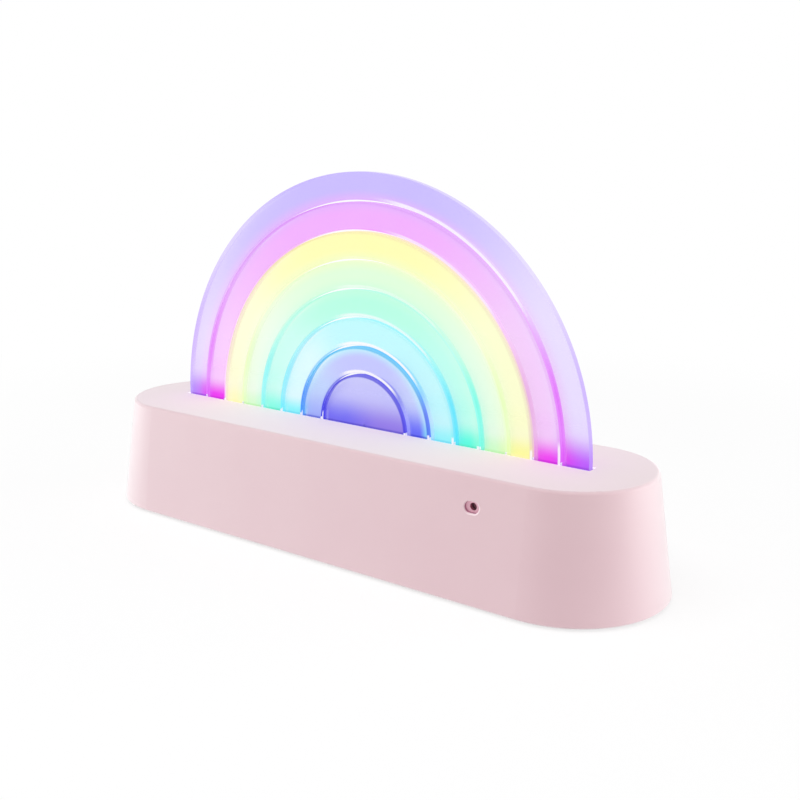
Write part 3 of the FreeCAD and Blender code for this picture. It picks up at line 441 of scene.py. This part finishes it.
def bandPaint(tintName, inner, outer, half, centreHeight, baseTop):
    material, paint = newPaint(tintName + "Clear")
    place = bandOrder.index(tintName)
    own = bandTints[tintName]
    outside = bandTints[bandOrder[max(place - 1, 0)]]
    inside = bandTints[bandOrder[min(place + 1, len(bandOrder) - 1)]]
    edge = bandLook["edgeRound"]
    line = bandLook["lineWidth"]
    white = colour(bandLook["white"])

    spot, (x, y, z) = paint.place()
    up = (z - centreHeight).atLeast(0.0)
    reach = ((x * x + up * up) ** 0.5).atLeast(mm)
    upward = up / reach
    sideways = x / reach
    fromInner = reach - inner
    fromOuter = outer - reach
    height = z - baseTop
    veil = height.rise(*bandLook["veil"])
    faceEnd, wallStart = bandLook["wallFade"]
    wall = abs(y).rise(half - faceEnd * edge, half - wallStart * edge)
    front = y.rise(0.0, -half / 2)
    rightHalf = (x / outer).rise(-bandLook["halfTurn"], bandLook["halfTurn"])

    def shades(tint):   # from the paler sides to the crown, and to the strong colour at the feet
        leftStart, rightStart = tint["crownFrom"]
        start = leftStart + rightHalf * (rightStart - leftStart)
        crown = ((upward - start) / (1.0 - start)).rise(0.0, 1.0)
        leftSide, rightSide = [colour(code) for code in tint["side"]]
        arched = paint.blend(crown, paint.blend(rightHalf, leftSide, rightSide), colour(tint["plain"]))
        arched = paint.blend(veil * bandLook["veilLift"], arched, white)
        left, right = tint["footShare"]
        glow = height.rise(tint["footHeight"], mm) * (left + rightHalf * (right - left))
        leftTone, rightTone = [colour(code) for code in tint["foot"]]
        return paint.blend(glow, arched, paint.blend(rightHalf, leftTone, rightTone)), glow

    def rim(tint):   # colour and share of a wall between two bands, round from the left foot to the right
        left, top, right = tint["rimShare"]
        low = upward.rise(*bandLook["rimFoot"])
        rightwards = sideways.rise(*bandLook["rimTurn"])
        leftTone, topTone, rightTone = [colour(code) for code in tint["rim"]]
        tone = paint.blend(low, topTone, paint.blend(rightwards, leftTone, rightTone))
        return tone, top + low * (left - top + rightwards * (right - left))

    body, glow = shades(own)
    for share, neighbour, gap in zip(own["bleed"], (outside, inside), (fromOuter, fromInner)):
        if share:
            body = paint.blend(gap.rise(bandLook["bleedWidth"], 0.0) * share, body, shades(neighbour)[0])
    footBleed = own.get("footBleed", 0.0)
    if footBleed:
        reached = fromInner.rise(outer - inner, 0.0) * glow * footBleed
        body = paint.blend(reached, body, colour(inside["foot"][1]))

    # The walls' colours, in the faces near them and on the walls themselves.
    innerTone, innerShare = rim(inside)
    outerTone, outerShare = rim(own)
    nearSide, farSide = bandLook["sideTurn"]
    onLeft, onRight = sideways.rise(-nearSide, -farSide), sideways.rise(nearSide, farSide)
    haze = bandLook["haze"]
    hazeShare = bandLook["hazeShare"]
    body = paint.blend(fromOuter.rise(haze, 0.0) * onLeft * outerShare * hazeShare, body, outerTone)
    body = paint.blend(fromInner.rise(haze, 0.0) * onRight * innerShare * hazeShare, body, innerTone)
    # painted shade: the line where the band enters the base's slot is darker
    seam = height.rise(*bandLook["seam"])
    body = paint.blend(seam * bandLook["seamShare"], body, colour(own["seam"]))
    body = paint.blend(wall * bandLook["wallLift"], body, white)
    innerWall = wall * beside(fromInner, edge, bandLook["wallReach"])
    outerWall = wall * beside(fromOuter, edge, bandLook["wallReach"])
    body = paint.blend(innerWall * innerShare, body, innerTone)
    body = paint.blend(outerWall * outerShare * bandLook["outerWall"], body, outerTone)

    # Lines along the edges of the front face, and white flecks at the feet; the white line along the inner
    # edge and the flecks are painted highlights.
    outerLine = beside(fromOuter, line, bandLook["lineFade"]) * own["edge"] * front.atLeast(wall)
    body = paint.blend(outerLine, body, outerTone)
    # painted highlight: the inner edge turns white where it faces the light, between the shine's angles
    strength, start, stop, width = own["shine"]
    middle, spread = radians((start + stop) / 2), radians((stop - start) / 2)
    facing = sideways * cos(middle) + upward * sin(middle)
    lit = facing.rise(cos(spread), cos(bandLook["shineFull"] * spread))
    paintedHighlight = beside(fromInner, width, bandLook["shineFade"]) * lit * strength * front
    # painted highlights: white flecks at the feet, up to the glint heights
    for tall, side in zip(own["glint"], (-1, 1)):
        if tall:
            fleckHighlight = beside(fromOuter, line, bandLook["fleckFade"])
            fleckHighlight = fleckHighlight * height.rise(tall, bandLook["fleckFull"] * tall)
            paintedHighlight = paintedHighlight.atLeast(fleckHighlight * (sideways * side).rise(0.0, bandLook["halfTurn"]))
    paintedHighlight = paintedHighlight * (1.0 - wall)
    body = paint.blend(paintedHighlight, body, white)
    cloud = paint.noise(spot, bandLook["cloud"], bandLook["fineDetail"])
    body = paint.blend(cloud * bandLook["cloudShare"], body, white)

    # How much each place hides, and how it shines.
    lent = {0: body, "Scale": 1 - bandLook["ownLight"]}
    dim = paint.node("ShaderNodeVectorMath", {"operation": "SCALE"}, lent)
    firm = wall.atLeast(outerLine).atLeast(paintedHighlight)
    clear = beside(fromOuter, bandLook["clearEdge"], bandLook["clearFade"]) * onLeft
    clear = clear.atLeast(beside(fromInner, bandLook["clearEdge"], bandLook["clearFade"]) * onRight) * front
    hiding = bandLook["faceAlpha"] + glow.atLeast(veil) * (bandLook["footAlpha"] - bandLook["faceAlpha"])
    face = hiding * (1.0 - bandLook["clearShare"] * clear)
    scuff = paint.noise(spot, bandLook["scuff"], bandLook["fineDetail"])
    polish = bandLook["roughness"] + scuff * bandLook["scuffSpread"]
    paint.cover(paint.principled(
        Base_Color=dim,
        Roughness=polish + wall * (bandLook["wallRoughness"] - bandLook["roughness"]),
        IOR=bandLook["ior"],
        Specular_IOR_Level=bandLook["gloss"],
        Emission_Color=body,
        Emission_Strength=bandLook["ownLight"],
        Alpha=face + firm * (bandLook["edgeAlpha"] - face),
    ))
    return material


def makeBands():
    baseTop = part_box("base_shell")[1].z
    footTop = baseTop - 2 * mm   # below this a band's points are those of its feet
    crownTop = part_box("lavender_arch")[1]
    half = crownTop.y
    centreHeight = crownTop.z - crownTop.x
    steps = bandLook["edgeSteps"]
    for tintName in bandOrder:
        whole = tintName == "violet"
        name = "centre_half_disc" if whole else tintName + "_arch"
        low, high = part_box(name)
        feet = [abs(v.co.x) for v in nodes[name].data.vertices if v.co.z < footTop]
        inner = 0.0 if whole else min(feet)
        section = edgeProfile(inner, high.x, half, bandLook["edgeRound"], steps)
        if whole:
            section = section[steps + 1:3 * (steps + 1)]   # only its outer edge is rounded
        stations = archStations(centreHeight - low.z, bandLook["arcSteps"])
        material = bandPaint(tintName, inner, high.x, half, centreHeight, baseTop)
        piece = sweepBand(tintName + "_band", section, not whole, stations, centreHeight, material)
        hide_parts(name)
        piece.visible_shadow = False   # clear plates let the lamps' light through
        piece.visible_glossy = False   # and the satin base shows no mirror image of them


makeBands()
print("bands swept")


# Moulded, metal and rubber finishes. Each look is one dictionary; what it leaves out keeps these values.

finishLook = {
    "cloud": 35 * mm,           # size of the soft clouds of the second tone, shade
    "cloudDetail": 3.0,
    "cloudRange": (0.3, 0.75),
    "roughness": 0.5,
    "roughSpread": 0.08,
    "grain": 0.25 * mm,
    "grainDetail": 2.0,
    "grainDepth": 0.004 * mm,
    "metallic": 0.0,
    "sheen": 0.0,
    "sheenRoughness": 0.4,
    "coat": 0.0,
    "coatRoughness": 0.03,
    "gloss": 0.5,
    "ior": 1.5,
    "glow": 0.0,
    "bareMarks": False,         # marked places have no sheen or coat, and only they give light, painted light
    "markGloss": 0.2,
}


def finishPaint(name, changes, mark=None):   # mark gives a share, a colour, a roughness and a metallic share
    look = {**finishLook, **changes}
    material, paint = newPaint(name)
    spot, axes = paint.place()
    cloud = paint.noise(spot, look["cloud"], look["cloudDetail"])
    grain = paint.noise(spot, look["grain"], look["grainDetail"])
    tone = paint.blend(cloud.rise(*look["cloudRange"]), colour(look["colour"]), colour(look["shade"]))
    roughness = look["roughness"] + (grain - 0.5) * look["roughSpread"]
    metallic = look["metallic"]
    bare = mark is not None and look["bareMarks"]
    if mark:
        share, markTone, markRough, markMetal = mark(paint, spot, axes)
        markTone = markTone if isinstance(markTone, Wire) else colour(markTone)
    if mark and not bare:
        tone = paint.blend(share, tone, markTone)
        roughness = roughness + share * (markRough - look["roughness"])
        metallic = metallic + share * (markMetal - metallic)
    shader = paint.principled(
        Base_Color=tone,
        Roughness=roughness,
        Metallic=metallic,
        Normal=paint.bump(grain, look["grainDepth"]),
        IOR=look["ior"],
        Sheen_Weight=look["sheen"],
        Sheen_Roughness=look["sheenRoughness"],
        Specular_IOR_Level=look["gloss"],
        Coat_Weight=look["coat"],
        Coat_Roughness=look["coatRoughness"],
        Emission_Color=tone,
        Emission_Strength=0.0 if bare else look["glow"],
    )
    if bare:
        bareShader = paint.principled(
            Base_Color=markTone,
            Roughness=markRough,
            Specular_IOR_Level=look["markGloss"],
            Emission_Color=markTone,
            Emission_Strength=look["glow"],
        )
        shader = paint.mix(share, shader, bareShader)
    paint.cover(shader)
    return material


# Pink base: satin moulded plastic with a fine spark-eroded grain.

# glow lights only the marked places: painted light in the sound hole and along the slot's edge
shellLook = {
    "colour": "d0a8b0", "shade": "cea4ad", "roughness": 0.5, "gloss": 0.45, "coat": 0.5, "coatRoughness": 0.5,
    "sheen": 1.0, "sheenRoughness": 0.75, "glow": 0.2, "bareMarks": True,
}
coverLook = {"colour": "d0aab0", "shade": "cca4ab", "roughness": 0.62, "sheen": 0.5, "sheenRoughness": 0.6}
buttonLook = {"colour": "d5afb5", "shade": "d2aab1", "roughness": 0.36, "sheen": 0.5, "sheenRoughness": 0.6}
soundHole = {
    "flat": 0.85 * mm, "round": 1.8 * mm, "lip": 0.6 * mm, "step": 1.2 * mm,   # as moulded
    "wallSlope": tan(radians(8)),
    "front": (0.0, -5 * mm),            # only the front wall has the hole
    "within": (0.25 * mm, 0.4 * mm),    # depths below the wall's face where the lip ends and the steps begin
    # painted shade and light: wall, floor and bore are the hole's looks in shade, darkest in the bore; lit is
    # a painted highlight on the lip
    "wall": "9e6a7e", "floor": "f0c4d0", "shadedBore": "864a5c",
    "lit": "f4e6ea", "litShare": (0.1, 0.4), "litTurn": (-1 * mm, 3 * mm), "litFrom": (0.0, 0.05),
    "roughness": 0.6,
}
# edge is the colour of a painted highlight along the slot's edge
slotLook = {"half": 2.3 * mm, "beyond": 0.6 * mm, "depth": 0.5 * mm, "edge": "fdf8fa"}


def shellPaintedShadeAndHighlights(paint, spot, axes):   # painted shade in the sound hole, painted highlights on its lip and slot edge
    x, y, z = axes
    low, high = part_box("mic_boot")
    middle = (low + high) / 2
    shellLow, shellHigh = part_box("base_shell")
    slope = soundHole["wallSlope"]
    fine = 0.05 * mm   # how sharply one mark ends at the next
    along = (abs(x - middle.x) - soundHole["flat"]).atLeast(0.0)
    beyond = (along ** 2 + (z - middle.z) ** 2) ** 0.5 - soundHole["round"]
    depth = y - shellLow.y - (z - shellLow.z) * slope
    step = shellLow.y + (middle.z - shellLow.z) * slope + soundHole["step"]
    wall, floor, shadedBore, lit = [colour(soundHole[key]) for key in ("wall", "floor", "shadedBore", "lit")]
    tone = paint.blend(y.rise(step - 2 * fine, step - fine), wall, floor)
    tone = paint.blend(y.rise(step + fine, step + 2 * fine), tone, shadedBore)
    inside = beyond.rise(soundHole["lip"], soundHole["lip"] / 2) * y.rise(*soundHole["front"])
    holeShade = inside * depth.rise(*soundHole["within"])
    away = (x - middle.x) - (z - middle.z)   # painted highlight: the lip's lower right side is lit more
    least, more = soundHole["litShare"]
    lip = inside * (least + more * away.rise(*soundHole["litTurn"]))
    lip = lip * beyond.rise(-fine, fine) * (1.0 - holeShade)
    tone = paint.blend(lip.rise(*soundHole["litFrom"]), tone, lit)
    # painted highlight: a white line along the slot's edge
    slotHalf = slotLook["half"]
    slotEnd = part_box("lavender_arch")[1].x + slotLook["beyond"]
    slotFloor = shellHigh.z - slotLook["depth"]
    slotEdgeHighlight = abs(y).rise(slotHalf + 2 * fine, slotHalf - 2 * fine)
    slotEdgeHighlight = slotEdgeHighlight * abs(x).rise(slotEnd + 4 * fine, slotEnd)
    slotEdgeHighlight = slotEdgeHighlight * z.rise(slotFloor, slotFloor + 2 * fine)
    share = holeShade.atLeast(lip).atLeast(slotEdgeHighlight)
    return share, paint.blend(slotEdgeHighlight, tone, colour(slotLook["edge"])), soundHole["roughness"], 0.0


dress("base_shell", finishPaint("pinkPlastic", shellLook, shellPaintedShadeAndHighlights))
dress("bottom_cover", finishPaint("coverPlastic", coverLook))
dress("mode_button", finishPaint("buttonPlastic", buttonLook))
print("base painted")


# White comb, boards, fasteners and the other inner pieces.

innerLooks = {
    "light_comb": {"colour": "dcd9e8", "shade": "d4d0e2", "cloud": 8 * mm, "roughness": 0.4, "glow": 0.06},
    "rubber_feet": {"colour": "cfc8cb", "shade": "c4bcc0", "cloud": 3 * mm, "roughness": 0.8, "sheen": 0.3},
    "led_chips": {"colour": "f2dc78", "shade": "f7ecb4", "cloud": 1 * mm, "roughness": 0.35, "glow": 0.4},
    "board_chips": {"colour": "1d1d20", "shade": "26262a", "cloud": 2 * mm, "roughness": 0.55},
    "link_header": {"colour": "1b1b1d", "shade": "232326", "cloud": 2 * mm, "roughness": 0.5},
    "tact_switch": {"colour": "202022", "shade": "2a2a2d", "cloud": 2 * mm, "roughness": 0.45},
    "switch_plunger": {"colour": "efece8", "shade": "e4e0da", "cloud": 1 * mm, "roughness": 0.35},
    "mic_boot": {"colour": "5e3e49", "shade": "563842", "cloud": 1.5 * mm, "roughness": 0.75, "sheen": 0.2},
    "battery_clamp": {"colour": "ece8e6", "shade": "e2dcda", "cloud": 6 * mm, "roughness": 0.45},
    "lead_plugs": {"colour": "efe6cf", "shade": "e6dabd", "cloud": 2 * mm, "roughness": 0.4},
    "battery_lead": {"colour": "b8302a", "shade": "a82a26", "cloud": 4 * mm, "roughness": 0.42, "coat": 0.2},
    "mic_lead": {"colour": "3a3a40", "shade": "44444a", "cloud": 4 * mm, "roughness": 0.42, "coat": 0.2},
}
screwLook = {"colour": "c9c9cc", "shade": "b4b4b8", "cloud": 1.5 * mm, "roughness": 0.3, "metallic": 1.0}
for held in ("cover", "comb", "board", "clamp"):
    innerLooks[held + "_screws"] = screwLook
for name, look in innerLooks.items():
    dress(name, finishPaint(name + "Finish", look))


trackLook = {
    "pitch": 1.27 * mm,
    "line": (0.3, 0.22),        # a track's edge, in shares of the pitch
    "patch": 9 * mm,            # in some patches the tracks run lengthways, in the others crossways
    "patchDetail": 1.0,
    "patchEdge": (0.48, 0.52),
    "share": 0.6,
    "roughness": 0.35,
}


def copperTracks(tone):   # lines of track under the solder mask
    def mark(paint, spot, axes):
        x, y, z = axes
        patch = paint.noise(spot, trackLook["patch"], trackLook["patchDetail"]).rise(*trackLook["patchEdge"])
        lengthways = abs((y / trackLook["pitch"]).fraction() - 0.5).rise(*trackLook["line"])
        crossways = abs((x / trackLook["pitch"]).fraction() - 0.5).rise(*trackLook["line"])
        lines = patch * lengthways + (1.0 - patch) * crossways
        return lines * trackLook["share"], tone, trackLook["roughness"], 0.0
    return mark


boardLooks = {
    "led_board": {"colour": "ebebea", "shade": "f2f2f0", "roughness": 0.4, "coat": 0.3},
    "main_board": {"colour": "1f6b3c", "shade": "1b6237", "roughness": 0.4, "coat": 0.4},
}
trackTones = {"led_board": "d8d6d0", "main_board": "2c8a4e"}
for name, look in boardLooks.items():
    dress(name, finishPaint(name + "Finish", look, copperTracks(trackTones[name])))


contactLook = {"pitch": 0.5 * mm, "line": (0.3, 0.26), "gilt": "d9b25a", "roughness": 0.25}
# the felt is lightened, painted light, so that it shows in the shaded sound hole
feltLook = {"depth": (0.25 * mm, 0.1 * mm), "felt": "8a5a68", "roughness": 0.95}
cellEndLook = {"length": (0.6 * mm, 0.3 * mm), "steel": "c8c8ca", "roughness": 0.3}


def tongueContacts(paint, spot, axes):   # gilt contacts across the tongue
    stripe = abs((axes[0] / contactLook["pitch"]).fraction() - 0.5).rise(*contactLook["line"])
    return stripe, contactLook["gilt"], contactLook["roughness"], 1.0


def feltFace(paint, spot, axes):   # dark felt over the sound hole, at the front of the can
    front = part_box("mic_capsule")[0].y
    deepest, full = feltLook["depth"]
    return axes[1].rise(front + deepest, front + full), feltLook["felt"], feltLook["roughness"], 0.0


def cellEnds(paint, spot, axes):   # bare steel at both ends of the cell, beyond the shrunk wrap
    low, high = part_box("battery_cell")
    middle = (low.x + high.x) / 2
    half = (high.x - low.x) / 2
    wrapEnd, full = cellEndLook["length"]
    steel = abs(axes[0] - middle).rise(half - wrapEnd, half - full)
    return steel, cellEndLook["steel"], cellEndLook["roughness"], 1.0


metalLooks = {
    "charging_socket": {
        "colour": "c4c5c8", "shade": "b6b7bb", "cloud": 2 * mm, "roughness": 0.28, "metallic": 1.0,
    },
    "socket_tongue": {"colour": "1a1a1c", "shade": "222224", "cloud": 1 * mm, "roughness": 0.5},
    # glow is painted light: the can and its felt give a little light so they show in the shaded hole
    "mic_capsule": {"colour": "b9babd", "shade": "a8a9ad", "roughness": 0.35, "metallic": 1.0, "glow": 0.2},
    "battery_cell": {"colour": "3b7fb4", "shade": "3675a8", "cloud": 9 * mm, "roughness": 0.38, "coat": 0.3},
}
marks = {"socket_tongue": tongueContacts, "mic_capsule": feltFace, "battery_cell": cellEnds}
for name, look in metalLooks.items():
    dress(name, finishPaint(name + "Finish", look, marks.get(name)))
print("inner pieces painted")
